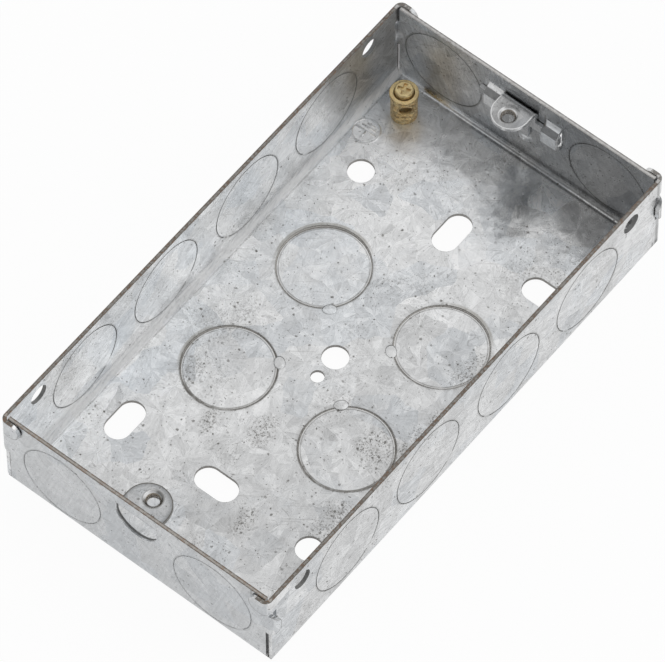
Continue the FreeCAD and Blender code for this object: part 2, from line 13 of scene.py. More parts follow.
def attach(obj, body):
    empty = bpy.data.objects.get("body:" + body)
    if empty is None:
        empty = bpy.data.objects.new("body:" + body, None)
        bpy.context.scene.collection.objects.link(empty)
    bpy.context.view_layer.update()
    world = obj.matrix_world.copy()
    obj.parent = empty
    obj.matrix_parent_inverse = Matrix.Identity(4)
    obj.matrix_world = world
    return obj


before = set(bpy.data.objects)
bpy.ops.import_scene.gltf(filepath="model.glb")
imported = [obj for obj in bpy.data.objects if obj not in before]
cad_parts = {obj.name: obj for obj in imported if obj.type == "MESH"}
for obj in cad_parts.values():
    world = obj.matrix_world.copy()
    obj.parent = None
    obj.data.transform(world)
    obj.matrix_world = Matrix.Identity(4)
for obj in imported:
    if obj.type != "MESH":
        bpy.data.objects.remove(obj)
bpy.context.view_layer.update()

MM = 0.001

# Sizes of the box, in millimetres, as its source has them
HALF_X, HALF_Y, HEIGHT, SHEET = 66.0, 36.0, 25.5, 0.9
INNER_X, INNER_Y = HALF_X - SHEET, HALF_Y - SHEET
POST = Vector((57.4, 27.1, 0.0))

# The two lugs: their tapped holes, and the round tips of their tongues, the sliding lug's first
LUG_BOTTOM, LUG_TOP = 19.9, 22.0
FIXING_X, SLID_BY = 60.3, 1.0
TIP_CENTRES, TIP_RADII = (61.25, 62.2), (4.4, 5.4)
THREAD_RADIUS, THREAD_PITCH, THREAD_DEPTH = 1.5, 0.6, 0.16
THREAD_TOP, FIXED_THREAD_BOTTOM, SLIDING_THREAD_BOTTOM = 21.15, 20.1, 20.2
THREAD_BACK, THREAD_HALF = 0.04, 0.36

# Knockouts: where they are, their cuts and the rings in them, the tilt of those in the base, their ties,
# and the way across the base towards the terminal's corner
KNOCKOUT_RADIUS, KNOCKOUT_CUT, BEAD_DEPTH, BEAD_LAP = 10.5, 0.22, 0.13, 0.02
SIDE_KNOCKOUTS, SIDE_KNOCKOUT_Z = (13.65, 40.6), 13.4
SIDE_MIDDLE, SIDE_SPREAD = sum(SIDE_KNOCKOUTS) / 2, (SIDE_KNOCKOUTS[1] - SIDE_KNOCKOUTS[0]) / 2
NEAR_KNOCKOUT_Y, NEAR_KNOCKOUT_Z = 20.3, 12.7
FAR_KNOCKOUT_Y, FAR_KNOCKOUT_Z = 22.4, 13.3
BASE_KNOCKOUT_X, BASE_KNOCKOUT_Y = 16.15, 16.1
DISC_SINK, DISC_DROP = 0.41, 0.27
TIE_X, TIE_Y = 8.5, 8.4
TIE_ACROSS, TIE_ALONG, TIE_RISE = 1.25, 1.65, 0.15
QUARTERS = ((1, 1), (-1, 1), (-1, -1), (1, -1))
TO_CORNER = (0.775, 0.632)

# Corner tabs: the round one on the end walls' outer faces and the tapered one on the side walls
WRAP_Y, WRAP_Z, WRAP_RADIUS = 33.5, 23.1, 2.5
FOLD_X, FOLD_Z, FOLD_HALF, FOLD_SLOPE, FOLD_COSINE = 63.8, 15.5, 1.64, 0.94, 0.73

# Keepers of the sliding lug: their sides and lower end. Then the punch mark below the lug, and the slit in
# each corner
KEEPER_X, KEEPER_BOTTOM, KEEPER_FROM, KEEPER_TO = 64.2, 12.5, 5.3, 10.3
STOP_Z, STOP_RADIUS = 8.9, 1.3
SLIT_Y, SLIT_TOP = 34.55, 11.8

# Bends: the crease along the side walls' feet, the line that the far bend's painted shade leaves bright, and where
# the bends begin
CREASE_Y, FAR_LINE_X = 33.45, 64.15
BEND_X, BEND_Y = 63.65, 33.65

# How far the side walls' knockouts and the end walls' reach
SIDE_REACH, END_REACH = 52.75, 34.25

# Earth sign stamped beside the terminal: a ring, three bars and a stem
SIGN_CENTRE = Vector((48.6, 30.6, SHEET))
SIGN_RADIUS, SIGN_LINE, SIGN_RISE = 3.1, 0.5, 0.16
SIGN_BARS = ((0.0, 2.58), (-1.03, 1.76), (-1.85, 0.92))
SIGN_STEM = 2.1

# Stained places on the base: middle, width and length. The stain with a straight edge is on one knockout
DIRTY_PATCHES = (
    (-11.9, -19.5, 4.0, 3.0), (-13.2, -22.2, 4.0, 2.5), (-9.3, -25.1, 3.0, 2.0), (-15.8, -28.0, 5.0, 2.5),
    (-30.3, -24.3, 4.0, 2.5), (-35.8, -25.2, 4.0, 2.5), (15.4, -24.4, 5.0, 2.5), (-4.8, -26.9, 3.0, 2.0),
    (1.7, -27.1, 3.0, 2.0), (-24.2, 0.5, 4.0, 2.5), (-28.8, 11.0, 3.0, 2.0), (-43.1, -10.3, 4.0, 2.0))
STAIN_X, STAIN_Y = -17.3, 19.5

# Floor and lamp in metres, and the world's levels, which change over two ranges of a direction's X and Z
FLOOR_HALF, FLOOR_LEVEL = 4.0, -0.0003
SOFTBOX_PLACE, SOFTBOX_SIZE, SOFTBOX_RADIANCE = (0.64, -0.64, 1.31), (1.5, 1.3), 0.36
LOW_LEVEL, NEAR_LEVEL, FAR_LEVEL = 0.84, 0.28, 0.80
NEAR_TO_FAR, LOW_TO_HIGH = (-0.36, -0.02), (0.42, 0.68)

# Camera, solved from the photograph: angles in degrees, and lengths in millimetres
AZIMUTH, ELEVATION, ROLL = -50.8, 58.83, -0.43
DISTANCE = 1822.7
TARGET = Vector((5.11, 4.9, 0.0))
SENSOR, FOCAL_LENGTH = 36.0, 462.15


def rgb(*levels):
    return tuple(levels) + (1.0,)


ZINC = rgb(0.80, 0.806, 0.81)
ZINC_BLUE = rgb(0.70, 0.725, 0.75)
ZINC_PALE = rgb(0.89, 0.893, 0.895)
RAW_STEEL = rgb(0.33, 0.31, 0.285)
RAW_DARK = rgb(0.11, 0.11, 0.105)
SHEAR = rgb(0.66, 0.64, 0.605)
BURNISHED = rgb(0.40, 0.385, 0.35)
# Laid as real grime, and also as painted shade and shadow
GRIME_AND_SHADE = rgb(0.14, 0.13, 0.115)
DUST = rgb(0.40, 0.37, 0.33)
RIM_PALE = rgb(0.46, 0.43, 0.395)
THREAD = rgb(0.27, 0.21, 0.14)
RUST = rgb(0.21, 0.13, 0.08)
BRASS = rgb(0.92, 0.62, 0.25)
BRASS_PALE = rgb(1.0, 0.80, 0.42)
BRASS_GRIME = rgb(0.22, 0.14, 0.07)
WHITE = rgb(1.0, 1.0, 1.0)
PAPER, PAPER_GREY = rgb(0.93, 0.93, 0.93), rgb(0.88, 0.88, 0.88)


class Wire:
    """A socket of a material's nodes that works in sums."""

    def __init__(self, graph, socket):
        self.graph = graph
        self.socket = socket

    def __add__(self, other):
        return self.graph.math("ADD", self, other)

    def __sub__(self, other):
        return self.graph.math("SUBTRACT", self, other)

    def __rsub__(self, other):
        return self.graph.math("SUBTRACT", other, self)

    def __mul__(self, other):
        return self.graph.math("MULTIPLY", self, other)

    def __truediv__(self, other):
        return self.graph.math("DIVIDE", self, other)

    __radd__ = __add__
    __rmul__ = __mul__


class Graph:
    """A material built from sums of wires."""

    def __init__(self, name):
        self.material = bpy.data.materials.new(name)
        self.material.use_nodes = True
        self.tree = self.material.node_tree
        self.tree.nodes.clear()
        self.output = self.tree.nodes.new("ShaderNodeOutputMaterial")

    def feed(self, socket, value):
        if isinstance(value, Wire):
            self.tree.links.new(value.socket, socket)
        else:
            socket.default_value = value

    def node(self, kind, inputs=(), **settings):
        node = self.tree.nodes.new("ShaderNode" + kind)
        for key, value in settings.items():
            setattr(node, key, value)
        for key, value in dict(inputs).items():
            self.feed(node.inputs[key], value)
        return node

    def wire(self, node, output=0):
        return Wire(self, node.outputs[output])

    def finish(self, shader):
        self.tree.links.new(shader.outputs[0], self.output.inputs["Surface"])
        return self.material

    def math(self, operation, a, b=0.0):
        return self.wire(self.node("Math", {0: a, 1: b}, operation=operation))

    def least(self, a, b):
        return self.math("MINIMUM", a, b)

    def most(self, a, b):
        return self.math("MAXIMUM", a, b)

    def absolute(self, value):
        return self.math("ABSOLUTE", value)

    def length(self, a, b):
        return self.math("SQRT", a * a + b * b)

    def rise(self, value, low, high, start=0.0, end=1.0):
        """start at low and beyond, end at high and beyond, and smooth between. Either may be the greater."""
        return self.wire(self.node(
            "MapRange", {"Value": value, "From Min": low, "From Max": high, "To Min": start, "To Max": end},
            interpolation_type="SMOOTHSTEP"))

    def near(self, value, inside, outside):
        """1 where value is within inside of zero, and 0 beyond outside."""
        return self.rise(self.absolute(value), inside, outside, 1.0, 0.0)

    def spot(self, a, b, across, along, soft):
        """1 inside an oval about the zero of a and b, and 0 outside it."""
        return self.rise(self.length(a / across, b / along), 1.0 - soft, 1.0 + soft, 1.0, 0.0)

    def vector(self, x, y, z=0.0):
        return self.wire(self.node("CombineXYZ", {0: x, 1: y, 2: z}))

    def parts(self, vector):
        node = self.node("SeparateXYZ", {0: vector})
        return [self.wire(node, k) for k in range(3)]

    def place(self):
        """The point's own place on the object, in millimetres."""
        return [axis * (1.0 / MM) for axis in self.parts(self.wire(self.node("TexCoord"), "Object"))]

    def normal(self):
        return self.parts(self.wire(self.node("NewGeometry"), "Normal"))

    def noise(self, vector, scale, detail=3.0, roughness=0.55, distortion=0.0):
        """Noise from 0 to 1, mostly 0.3 to 0.7."""
        return self.wire(self.node("TexNoise", {
            "Vector": vector, "Scale": scale, "Detail": detail, "Roughness": roughness,
            "Distortion": distortion}))

    def bend(self, vector, scale, reach):
        """vector, moved about by noise."""
        ragged = self.node("TexNoise", {"Vector": vector, "Scale": scale, "Detail": 2.0})
        shift = self.wire(self.node(
            "VectorMath", {0: self.wire(ragged, "Color"), 1: (0.5,) * 3}, operation="SUBTRACT"))
        return self.wire(self.node("VectorMath", {0: shift, 1: (reach,) * 3, 2: vector}, operation="MULTIPLY_ADD"))

    def cells(self, vector, size):
        return self.node("TexVoronoi", {"Vector": vector, "Scale": 1.0 / size}, voronoi_dimensions="2D")

    def mix(self, factor, a, b):
        return self.wire(self.node("MixRGB", {0: factor, 1: a, 2: b}))

    def tint(self, colour, amount):
        """colour times a number."""
        grey = self.wire(self.node("CombineColor", {0: amount, 1: amount, 2: amount}))
        return self.wire(self.node("MixRGB", {0: 1.0, 1: colour, 2: grey}, blend_type="MULTIPLY"))

    def bevel(self, radius):
        return self.wire(self.node("Bevel", {"Radius": radius}, samples=3))

    def bump(self, strength, distance, height, normal):
        return self.wire(self.node("Bump", {
            "Strength": strength, "Distance": distance, "Height": height, "Normal": normal}))

    def metal(self, colour, metallic, roughness, normal):
        return self.finish(self.node("BsdfPrincipled", {
            "Base Color": colour, "Metallic": metallic, "Roughness": roughness, "Normal": normal}))


class Zinc(Graph):
    """Galvanised sheet, painted from the bare zinc up in layers of colour, some of them painted light and shade."""

    def __init__(self, name, is_box, seed):
        super().__init__(name)
        self.is_box, self.seed = is_box, seed
        self.x, self.y, self.z = self.place()
        nx, ny, self.nz = self.normal()
        self.wide, self.broad = self.absolute(self.x), self.absolute(self.y)
        self.sign_x, self.sign_y = self.math("SIGN", self.x), self.math("SIGN", self.y)
        self.flat, self.on_side, self.on_end = (self.rise(self.absolute(n), 0.6, 0.75) for n in (self.nz, ny, nx))
        # u and v unroll the walls into the base's plane, so that the crystals run on round the bends
        self.u = self.x + self.sign_x * self.on_end * self.z
        self.v = self.y + self.sign_y * self.on_side * self.z
        self.space = self.vector(self.x, self.y, self.z)
        # raw is where the sheet isn't a mirror, and keeper is the two keepers of the sliding lug
        self.raw = self.keeper = 0.0
        self.crystals()
        self.rubbing()
        self.dirt()
        if is_box:
            self.base_and_bends()
            self.base_knockouts()
            self.wall_knockouts()
            self.cut_edges()
            self.corner_tabs()
            self.keepers_and_bends()
            self.painted_shade_and_dull_places()
            self.rim()
        self.tapped_lug()
        self.surface()

    def lay(self, mask, paint):
        """Lay paint over the colour, as thickly as mask says."""
        self.colour = self.mix(mask, self.colour, paint)

    def shade(self, amount):
        """Darken the colour by a share of it, or lighten it where amount is negative."""
        self.colour = self.tint(self.colour, 1.0 - amount)

    def spangle(self, size, seed):
        """Zinc crystals: each one's own level, the blades that fan out in it, fine lines, and another level."""
        bent = self.bend(self.vector(self.u + seed, self.v - seed), 1.4 / size, size * 0.4)
        cells = self.cells(bent, size)
        own, other, third = self.parts(self.wire(cells, "Color"))
        away = self.wire(self.node("VectorMath", {0: bent, 1: self.wire(cells, "Position")}, operation="SUBTRACT"))
        ax, ay, _ = self.parts(away)
        turn = self.math("FRACT", self.math("ARCTAN2", ay, ax) / (2 * math.pi) + other)
        index = self.math("FLOOR", turn * (self.math("FLOOR", own * 8.0) + 10.0))
        blade = self.wire(self.node("TexWhiteNoise", {"Vector": self.vector(index, own * 57.0)},
                                    noise_dimensions="2D"))
        lines = self.noise(self.vector(turn * 60.0, own * 40.0, self.wire(cells, "Distance") * 2.5), 1.0, 3.0)
        return own, blade, lines, third

    def specks(self, size, crowd, seed):
        """Small irregular spots in about crowd of the cells of the sheet."""
        cells = self.cells(self.bend(self.vector(self.u + seed, self.v + seed), 2.2 / size, size * 0.5), size)
        chance, radius, weight = self.parts(self.wire(cells, "Color"))
        reach = 0.075 + radius * radius * 0.19
        inside = self.wire(self.node("MapRange", {
            "Value": self.wire(cells, "Distance"), "From Min": reach * 0.6, "From Max": reach * 1.25,
            "To Min": 1.0, "To Max": 0.0}))
        return inside * self.math("LESS_THAN", chance, crowd) * (0.35 + weight * 0.65)

    def crystals(self):
        """Bare zinc: crystals of two sizes, their bluish and pale faces, and the dark feathers in them."""
        own, blade, lines, third = self.spangle(8.0, self.seed)
        fine_own, fine_blade, fine_lines, _ = self.spangle(3.6, self.seed + 31.0)
        cloud = self.noise(self.vector(self.u, self.v), 0.045, 4.0, 0.6)
        patch = self.noise(self.vector(self.u + 17.0, self.v), 0.14, 5.0, 0.65, 0.6)
        level = 0.975
        for part, share in ((own, 0.17), (blade, 0.20), (lines, 0.42), (fine_own, 0.09), (fine_blade, 0.12),
                            (fine_lines, 0.30), (patch, 0.24), (cloud, 0.16)):
            level = level + (part - 0.5) * share
        blue = self.rise(third * 0.6 + patch * 0.6, 0.52, 0.86)
        pale = self.rise(fine_blade * 0.5 + blade * 0.5 + cloud * 0.5, 0.7, 1.25)
        feather = self.rise(lines, 0.53, 0.62) * self.rise(blade, 0.3, 0.7) * self.rise(patch, 0.40, 0.55)
        fine_feather = self.rise(fine_lines, 0.55, 0.64) * self.rise(fine_blade, 0.35, 0.75)
        colour = self.mix(pale * 0.3, self.mix(blue * 0.8, ZINC, ZINC_BLUE), ZINC_PALE)
        self.colour = self.tint(colour, level - feather * 0.27 - fine_feather * 0.20)
        self.own, self.blade, self.lines, self.cloud, self.patch = own, blade, lines, cloud, patch

    def rubbing(self):
        """Rubbed streaks, hair lines and a few straight scratches."""
        u, v = self.u, self.v
        self.streak = self.noise(self.vector(u * 0.12 + v * 0.05, v * 1.6 - u * 0.5), 1.0, 4.0, 0.6)
        self.shade(self.rise(self.streak, 0.3, 0.7, 1.0, -1.0) * (0.04 + (1.0 - self.flat) * 0.06))
        hair = self.noise(self.vector(u, v, self.seed), 0.16, 1.0, 0.5, 1.2)
        hairs = self.near(hair - 0.5, 0.0025, 0.005) * self.rise(self.patch, 0.5, 0.56)
        line = self.noise(self.vector(u * 0.05 - v * 0.06 + 9.0, v * 1.7 + u * 2.3), 1.0, 1.0, 0.4)
        scratches = self.rise(line, 0.70, 0.715) * self.rise(self.cloud, 0.56, 0.46)
        self.marks = self.most(hairs * 0.30, scratches * 0.25)
        self.lay(self.marks, GRIME_AND_SHADE)

    def dirt(self):
        """Specks, pits and haze, thicker in the dirty patches, and grime and painted shade where pieces and folds
        meet.
        """
        x, y, u, v = self.x, self.y, self.u, self.v
        dirty = self.rise(self.noise(self.vector(u - 40.0, v + 12.0), 0.05, 3.0), 0.5, 0.7) * 0.5
        if self.is_box:
            # on_floor is the top of the base, with its sunk knockouts
            self.on_floor = (self.rise(self.z, 0.12, 0.2) * self.rise(self.nz, 0.3, 0.6)
                             * self.rise(self.broad, HALF_Y - 0.5, HALF_Y - 0.8))
            for middle_x, middle_y, across, along in DIRTY_PATCHES:
                patch = self.spot(x - middle_x, y - middle_y, across, along, 0.6)
                dirty = self.most(dirty, patch * self.on_floor)
            disc = self.length(x + BASE_KNOCKOUT_X, y - BASE_KNOCKOUT_Y)
            stain = self.rise(disc, KNOCKOUT_RADIUS - 0.6, KNOCKOUT_RADIUS - 0.3, 1.0, 0.0)
            past = self.least(STAIN_X - (y - STAIN_Y) * 0.2 - x, y - STAIN_Y) + (self.patch - 0.5) * 3.0
            dirty = self.most(dirty, stain * self.rise(past, -0.2, 0.4) * self.on_floor * 0.7)
        coarse = self.specks(1.25, 0.13 + dirty * 0.50, self.seed)
        fine = self.specks(0.62, 0.15 + dirty * 0.55, self.seed + 5.0)
        grit = (dirty * self.rise(self.noise(self.vector(u, v, 3.0), 1.7, 4.0, 0.8), 0.51, 0.59)
                * self.rise(self.noise(self.vector(u, v, 8.0), 0.45, 3.0, 0.7), 0.38, 0.52))
        self.spots = self.most(self.most(coarse * 0.85, fine * 0.8), grit * 0.75)
        haze = dirty * self.rise(self.noise(self.space, 1.2, 4.0, 0.7), 0.4, 0.7)
        self.lay(haze * 0.22, DUST)
        self.lay(self.spots, GRIME_AND_SHADE)
        self.rough = (0.25 + (self.own - 0.5) * 0.06 + (self.blade - 0.5) * 0.05 + (self.cloud - 0.5) * 0.12
                      + self.spots * 0.3 + haze * 0.2)
        # Ambient occlusion in the crevices, broken by noise: laid later as grime and painted shade
        crevice = self.wire(self.node("AmbientOcclusion", {"Distance": 0.0009}, samples=2), "AO")
        self.deep = (self.rise(crevice, 0.55, 0.15)
                     * self.rise(self.noise(self.space, 0.7, 4.0, 0.7), 0.25, 0.6))

    def base_and_bends(self):
        """The base's slow change of level, and darker bands along the inside bends."""
        self.inner = self.rise(self.z, 0.5, 0.9)
        self.low = self.rise(self.z, 2.6, 1.6)
        self.shade(self.rise(self.x * 0.5 + self.y, -40.0, 20.0, 0.09, -0.07) * self.rise(self.z, 2.0, 1.2))
        edge_y = self.near(self.broad - (INNER_Y - 1.2), 0.0, 1.6)
        edge_x = self.near(self.wide - (INNER_X - 1.2), 0.0, 1.6)
        self.smear = self.rise(self.noise(self.vector(self.u * 0.5, self.v * 0.5), 1.0, 4.0, 0.7), 0.42, 0.66)
        bends = self.most(edge_y * 0.2, edge_x * self.rise(self.x, 0.0, 1.0, 1.0, 0.3))
        self.lay(bends * self.smear * self.low * self.inner * 0.4, GRIME_AND_SHADE)

    def base_knockouts(self):
        """Knockouts of the base, folded into one quarter: their cuts, sheared faces, inner lines and ties, a
        painted highlight in each ring, and painted shadow along the sunk edges.
        """
        # edge is how far a point lies outside a cut's outer circle, and tie is 1 on a tie's outline
        fold_x, fold_y = self.wide - BASE_KNOCKOUT_X, self.broad - BASE_KNOCKOUT_Y
        edge = self.length(fold_x, fold_y) - KNOCKOUT_RADIUS
        on_base = self.rise(self.z, 1.6, 1.3)
        on_sheet = on_base * self.flat
        self.worn = self.rise(self.noise(self.space, 0.45, 3.0, 0.7), 0.3, 0.62, 0.45, 1.0)
        tie_x, tie_y = self.wide - TIE_X, self.broad - TIE_Y
        tie = self.length((tie_x + tie_y) / (TIE_ACROSS * math.sqrt(2.0)),
                          (tie_x - tie_y) / (TIE_ALONG * math.sqrt(2.0)))
        cut_through = self.rise(tie, 0.95, 1.1)
        away = self.rise(fold_x + fold_y, 0.0, 9.0)
        near_half = self.math("LESS_THAN", self.x, 0.0)
        # 1 at the side of each ring that lies towards the terminal's corner, and -1 at the other
        toward = (fold_x * self.sign_x * TO_CORNER[0] + fold_y * self.sign_y * TO_CORNER[1]) / KNOCKOUT_RADIUS

        # Painted highlight: a bright line just inside each cut
        gleam = self.near(edge + 0.36, 0.06, 0.18) * self.worn * cut_through
        band = (self.rise(edge, -0.1, 0.0) * self.rise(edge, 0.8, 0.45) * away
                * self.rise(toward, -0.2, 0.4) * on_sheet)
        groove = self.near(edge + KNOCKOUT_CUT / 2, 0.14, 0.34)
        line = self.near(edge + 0.62, 0.05, 0.2) * self.worn
        halo = self.rise(edge, 0.0, 1.2, 1.0, 0.0) * self.rise(edge, -0.4, 0.0) * self.smear
        ring = self.most(groove * self.worn * 0.5, self.most(line * 0.55, halo * 0.3)) * on_sheet * cut_through
        self.lay(gleam * on_sheet * 0.7, ZINC_PALE)
        self.lay(band * (0.35 + self.worn * 0.4), BURNISHED)
        self.lay(ring * (1.0 - band * 0.7), GRIME_AND_SHADE)

        shear = (self.rise(edge, -0.5, -0.1) * self.rise(edge, 0.35, 0.1) * on_base
                 * self.rise(self.z, SHEET, SHEET - 0.06))
        self.deep = self.deep * (1.0 - shear)
        self.raw = shear * self.near(edge + KNOCKOUT_CUT / 2, 0.0, 0.3)
        self.lay(shear * 0.9, SHEAR)

        # Painted shadow: a dark outline and the sunk disc's edge in shade, on the side of each ring away from the
        # terminal's corner
        outline = (self.near(edge + 0.02, 0.14, 0.32) * cut_through
                   * self.most(self.rise(toward, 0.1, -0.5) * 0.55,
                               near_half * self.rise(toward, 1.1, 0.0, 0.3, 0.9)))
        shaded = (self.rise(edge, -0.85, -0.45) * self.rise(edge, 0.42, 0.18) * self.rise(toward, 0.05, -0.5)
                  * (0.45 + near_half * 0.55) * self.rise(away, 0.0, 0.5, 0.5, 1.0))
        above_web = self.rise(self.z, 0.12, 0.2)
        self.lay(self.most(outline, shaded) * on_base * above_web * self.worn * 0.85, GRIME_AND_SHADE)
        tie_line = self.near(tie - 1.0, 0.04, 0.16) * (0.4 + self.smear * 0.4)
        self.lay(tie_line * on_sheet * self.inner * 0.2, GRIME_AND_SHADE)

    def wall_knockouts(self):
        """Knockouts of the walls: a soft grey line at each cut, and a painted highlight inside part of the side
        walls'.
        """
        side_u = self.absolute(self.wide - SIDE_MIDDLE) - SIDE_SPREAD
        side_v = self.z - SIDE_KNOCKOUT_Z
        side = self.length(side_u, side_v) - KNOCKOUT_RADIUS
        at_far = self.math("GREATER_THAN", self.x, 0.0)
        end_u = self.broad - (NEAR_KNOCKOUT_Y + at_far * (FAR_KNOCKOUT_Y - NEAR_KNOCKOUT_Y))
        end_v = self.z - (NEAR_KNOCKOUT_Z + at_far * (FAR_KNOCKOUT_Z - NEAR_KNOCKOUT_Z))
        end = self.length(end_u, end_v) - KNOCKOUT_RADIUS
        on_sides = self.on_side * self.rise(self.wide, SIDE_REACH + 0.25, SIDE_REACH - 0.25)
        on_ends = self.on_end * self.rise(self.broad, END_REACH + 0.25, END_REACH - 0.25)
        line = self.most(self.near(side, 0.1, 0.45) * on_sides, self.near(end, 0.1, 0.45) * on_ends)
        self.lay(line * self.worn * 0.3, GRIME_AND_SHADE)
        # Painted highlight just inside the side walls' cuts, on part of each ring
        along = side_u * self.sign_x * self.math("SIGN", self.wide - SIDE_MIDDLE)
        gleam = self.near(side + 0.45, 0.05, 0.25) * on_sides * self.rise(along * 0.6 - side_v * 0.8, 0.0, -7.0)
        self.lay(gleam * self.worn * 0.7, ZINC_PALE)

    def cut_edges(self):
        """Sheared edges of the holes, brown and dull where the sheet broke, and painted shade in the slits in the
        corners.
        """
        z, wide, broad = self.z, self.wide, self.broad
        below_rim = self.rise(z, HEIGHT - 0.2, HEIGHT - 0.4)
        base_cut = (self.rise(z, SHEET - 0.02, SHEET - 0.06) * (1.0 - self.flat)
                    * self.rise(wide, BEND_X + 0.15, BEND_X - 0.15)
                    * self.rise(broad, BEND_Y + 0.15, BEND_Y - 0.15))
        side_cut = (self.rise(broad, INNER_Y - 0.05, INNER_Y + 0.05) * (1.0 - self.on_side) * below_rim
                    * self.rise(wide, 60.5, 60.0))
        end_cut = (self.rise(wide, INNER_X - 0.05, INNER_X + 0.05) * self.rise(wide, HALF_X - 0.1, HALF_X - 0.2)
                   * (1.0 - self.on_end) * self.rise(broad, 34.4, 34.0) * below_rim * self.rise(z, 2.2, 2.4))
        burnish = self.rise(wide, 65.55, 65.7)
        broken = self.most(side_cut, end_cut * (1.0 - burnish * 0.8))
        self.lay(base_cut * 0.85, RAW_STEEL)
        self.lay(broken * 0.85, RAW_DARK)
        self.raw = self.most(self.raw, self.most(base_cut, broken))
        # Painted shade inside the slit in each corner
        slit = (self.rise(broad, INNER_Y + 0.05, INNER_Y - 0.1) * self.rise(broad, SLIT_Y - 0.05, SLIT_Y + 0.05)
                * self.rise(wide, INNER_X - 0.2, INNER_X - 0.05) * self.rise(z, SLIT_TOP + 0.1, SLIT_TOP - 0.1))
        self.lay(slit * 0.75, GRIME_AND_SHADE)

    def corner_tabs(self):
        """Painted shade: dark lines where the corner tabs lie on the walls."""
        wide, broad = self.wide, self.broad
        wrap = self.length(self.most(WRAP_Y - broad, 0.0), self.most(WRAP_Z - self.z, 0.0)) - WRAP_RADIUS
        wrap_line = self.near(wrap - 0.08, 0.14, 0.42) * self.on_end * self.rise(wide, HALF_X - 0.2, HALF_X - 0.1)
        fold_z = self.absolute(self.z - FOLD_Z) - FOLD_HALF
        fold = self.most(FOLD_X - wide, (fold_z - (wide - FOLD_X) * FOLD_SLOPE) * FOLD_COSINE)
        fold_line = self.near(fold - 0.04, 0.08, 0.28) * self.on_side * self.rise(broad, HALF_Y - 0.2, HALF_Y - 0.1)
        # Painted shade along the tabs' outlines
        self.lay(self.most(wrap_line, fold_line) * (0.3 + self.worn * 0.6), GRIME_AND_SHADE)

    def keepers_and_bends(self):
        """Keepers duller, and painted darker on top and lighter below; the near end's outer face darker, as painted
        shade, and bluer; painted highlights on the punch mark and along the side bends; and a dark line along the
        side bends' crease.
        """
        x, z, broad = self.x, self.z, self.broad
        self.keeper = (self.rise(self.wide, KEEPER_X + 0.1, KEEPER_X - 0.1) * self.rise(x, 61.0, 61.5)
                       * self.rise(z, KEEPER_BOTTOM - 0.1, KEEPER_BOTTOM + 0.2)
                       * self.rise(broad, KEEPER_FROM - 0.1, KEEPER_FROM + 0.2)
                       * self.rise(broad, KEEPER_TO + 0.1, KEEPER_TO - 0.1))
        near_face = self.rise(x, 0.3 - HALF_X, 0.2 - HALF_X) * self.on_end
        stop = (self.spot(self.y, z - STOP_Z, STOP_RADIUS, STOP_RADIUS, 0.5) * self.rise(x, 63.9, 64.2)
                * self.rise(x, INNER_X + 0.1, INNER_X))
        # Painted shade on the keepers' upper faces and painted light on their lower ones, and painted shade on the
        # near end's outer face
        self.shade(self.keeper * self.rise(self.nz, 0.0, 0.6, -0.2, 0.65) + near_face * 0.15)
        self.lay(near_face * 0.35, ZINC_BLUE)
        # Painted highlight on the punch mark
        self.lay(stop * 0.8, ZINC_PALE)
        self.side_bend = (self.rise(z, 2.6, 2.0) * self.rise(broad, 33.5, 34.1) * self.inner
                          * self.rise(broad, 35.6, 35.4))
        # Painted highlight along the side bends, in streaks
        self.lay(self.side_bend * self.rise(self.streak, 0.3, 0.6) * 0.8, ZINC_PALE)
        crease = self.near(broad - CREASE_Y + (self.patch - 0.5) * 0.6, 0.08, 0.3) * self.low * self.inner
        self.lay(crease * self.flat * self.worn * 0.35, GRIME_AND_SHADE)
        self.rough = self.rough + self.keeper * 0.12 - stop * 0.08 + self.side_bend * 0.3

    def painted_shade_and_dull_places(self):
        """Painted shade on the left wall, the far wall and its bend, painted light at the left wall's foot, paler
        and barer places of the far base, and duller ones round the post.
        """
        x, y, z = self.x, self.y, self.z
        self.shade(self.rise(x, 42.0, 58.0) * self.rise(y, 12.0, -6.0) * self.rise(z, 1.2, 1.0) * -0.16)
        left_inside = self.rise(y, INNER_Y - 0.3, INNER_Y - 0.05) * self.rise(y, INNER_Y + 0.2, INNER_Y + 0.1)
        far_inside = self.rise(x, INNER_X + 0.3, INNER_X + 0.1) * self.inner
        # Painted shade on the left wall's inside, deepening towards the far end
        self.shade(left_inside * self.rise(x, -8.0, 32.0) * 0.20)
        # Painted shade on the far wall's inside, deepest towards the right
        self.shade(self.rise(x, 64.2, 64.8) * far_inside * self.rise(y, 12.0, -14.0) * 0.40)
        # Painted shade in the far bend, strongest towards the right, leaving one line bright
        far_bend = self.rise(x, 63.2, 63.6) * far_inside * self.rise(z, 3.6, 2.8)
        far_line = self.near(x - FAR_LINE_X, 0.1, 0.25)
        self.shade(far_bend * self.rise(y, 26.0, 4.0) * (1.0 - far_line * 0.7) * 0.55)
        # Painted light at the foot of the left wall's inside
        self.shade(left_inside * self.rise(z, 6.0, 3.0) * -0.25)
        self.fleck = self.specks(4.5, 0.3, self.seed + 70.0) * self.rise(x, 38.0, 48.0) * self.on_floor * self.flat
        # Round the post, the base and the walls are too dull to mirror the brass sharply
        near_post = self.spot(x - (POST.x - 2.5), y - (POST.y - 2.0), 7.0, 7.0, 0.5) * self.rise(z, 1.2, 1.0)
        by_post = self.rise(self.length(x - POST.x, y - POST.y), 21.0, 11.0) * self.rise(z, 1.2, 3.0)
        self.rough = self.rough + near_post * 0.16 + by_post * 0.2

